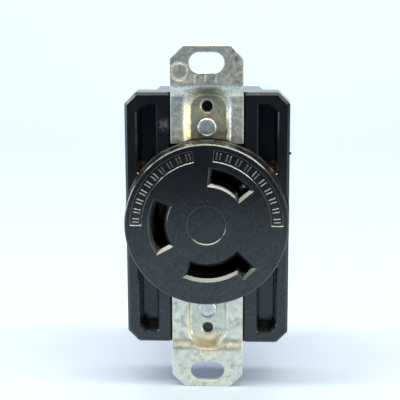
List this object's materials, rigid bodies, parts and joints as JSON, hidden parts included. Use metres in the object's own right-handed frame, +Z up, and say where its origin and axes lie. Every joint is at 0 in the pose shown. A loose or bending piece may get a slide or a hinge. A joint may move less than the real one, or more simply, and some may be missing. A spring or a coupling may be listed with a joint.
{
  "type": "flush locking receptacle",
  "caption": "Round-faced black locking receptacle with curved blade slots, plated mounting ears above and below, and side-screw clamp terminals behind.",
  "frame": {"origin": "midway between the two mounting slots, on the front plane of the mounting ears", "axes": "+Z up through the upper ear, +X right as seen from the front, and -Y out of the blade slots"},
  "size_m": [0.0432, 0.035, 0.0922],
  "materials": {
    "phenolic_front": "moulded black phenolic, lightly scratched",
    "phenolic_rear": "moulded black phenolic",
    "plated_steel": "zinc plated and chromated, mottled",
    "rivet_steel": "zinc plated",
    "washer_steel": "zinc plated",
    "contact_bronze": "rolled phosphor bronze",
    "spring_steel": "blued spring steel",
    "terminal_brass": "extruded brass",
    "clamp_steel": "zinc plated",
    "screw_brass": "brass plated"
  },
  "bodies": {
    "device": {"front_body": "phenolic_front", "rear_base": "phenolic_rear", "strap_top": "plated_steel", "strap_bottom": "plated_steel", "rivet_top": "rivet_steel", "rivet_bottom": "rivet_steel", "rivet_washers": "washer_steel", "contact_a": "contact_bronze", "contact_b": "contact_bronze", "contact_c": "contact_bronze", "contact_spring_a": "spring_steel", "contact_spring_b": "spring_steel", "contact_spring_c": "spring_steel", "terminal_box_a": "terminal_brass", "terminal_box_b": "terminal_brass", "terminal_box_c": "terminal_brass"},
    "clamp_a": {"clamp_plate_a": "clamp_steel"},
    "screw_a": {"terminal_screw_a": "screw_brass"},
    "clamp_b": {"clamp_plate_b": "clamp_steel"},
    "screw_b": {"terminal_screw_b": "screw_brass"},
    "clamp_c": {"clamp_plate_c": "clamp_steel"},
    "screw_c": {"terminal_screw_c": "screw_brass"}
  },
  "joints": [
    {"name": "clamp_slide_a", "type": "slide", "parent": "device", "child": "clamp_a", "axis": [-1, 0, 0], "range_m": [0, 0.00317]},
    {"name": "screw_turn_a", "type": "hinge", "parent": "clamp_a", "child": "screw_a", "pos_m": [0.0192, 0.0196, 0.0093], "axis": [-1, 0, 0], "range_deg": [0, 1440]},
    {"name": "clamp_slide_b", "type": "slide", "parent": "device", "child": "clamp_b", "axis": [1, 0, 0], "range_m": [0, 0.00317]},
    {"name": "screw_turn_b", "type": "hinge", "parent": "clamp_b", "child": "screw_b", "pos_m": [-0.0192, 0.0196, 0], "axis": [1, 0, 0], "range_deg": [0, 1440]},
    {"name": "clamp_slide_c", "type": "slide", "parent": "device", "child": "clamp_c", "axis": [-1, 0, 0], "range_m": [0, 0.00317]},
    {"name": "screw_turn_c", "type": "hinge", "parent": "clamp_c", "child": "screw_c", "pos_m": [0.0192, 0.0196, -0.0093], "axis": [-1, 0, 0], "range_deg": [0, 1440]}
  ],
  "couplings": [
    {"joint": "screw_turn_a", "follows": "clamp_slide_a", "rad_per_m": 7915.8},
    {"joint": "screw_turn_b", "follows": "clamp_slide_b", "rad_per_m": 7915.8},
    {"joint": "screw_turn_c", "follows": "clamp_slide_c", "rad_per_m": 7915.8}
  ]
}
